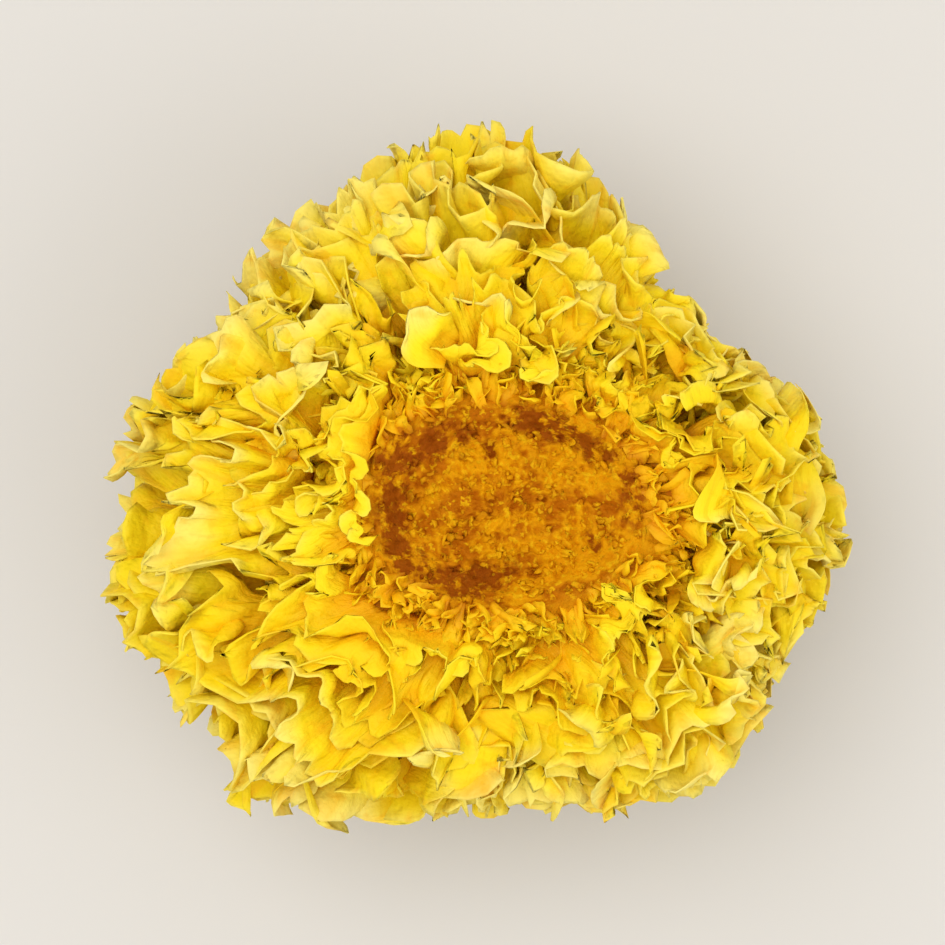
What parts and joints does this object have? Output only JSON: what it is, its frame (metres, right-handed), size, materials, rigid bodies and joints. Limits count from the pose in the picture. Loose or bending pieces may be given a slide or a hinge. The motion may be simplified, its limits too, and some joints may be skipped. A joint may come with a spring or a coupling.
{
  "type": "snow fungus",
  "caption": "Dried golden snow fungus head, ruffled fronds around a hard orange-brown cut base, lying on its crown with the cut up.",
  "frame": {"origin": "on the surface that the head lies on, in the middle of its outline seen from above", "axes": "+Z up, out of the cut base; +X to the right in the picture, along the head's widest extent; +Y up in the picture"},
  "size_m": [0.0636, 0.0604, 0.036],
  "materials": {
    "base": "rough, dry",
    "frond_collar": "dry, waxy",
    "frond": "dry, waxy"
  },
  "bodies": {
    "root": {"base": "base", "frond_collar_01": "frond_collar", "frond_collar_02": "frond_collar", "frond_collar_03": "frond_collar", "frond_collar_04": "frond_collar", "frond_collar_05": "frond_collar", "frond_upper_01": "frond", "frond_upper_02": "frond", "frond_upper_03": "frond", "frond_upper_04": "frond", "frond_upper_05": "frond", "frond_upper_06": "frond", "frond_shoulder_01": "frond", "frond_shoulder_02": "frond", "frond_shoulder_03": "frond", "frond_shoulder_04": "frond", "frond_shoulder_05": "frond", "frond_shoulder_06": "frond", "frond_side_01": "frond", "frond_side_02": "frond", "frond_side_03": "frond", "frond_side_04": "frond", "frond_side_05": "frond", "frond_lower_01": "frond", "frond_lower_02": "frond", "frond_lower_03": "frond", "frond_lower_04": "frond", "frond_lower_05": "frond", "frond_crown_01": "frond", "frond_crown_02": "frond", "frond_crown_03": "frond", "frond_crown_04": "frond", "frond_heart_01": "frond"}
  },
  "joints": []
}
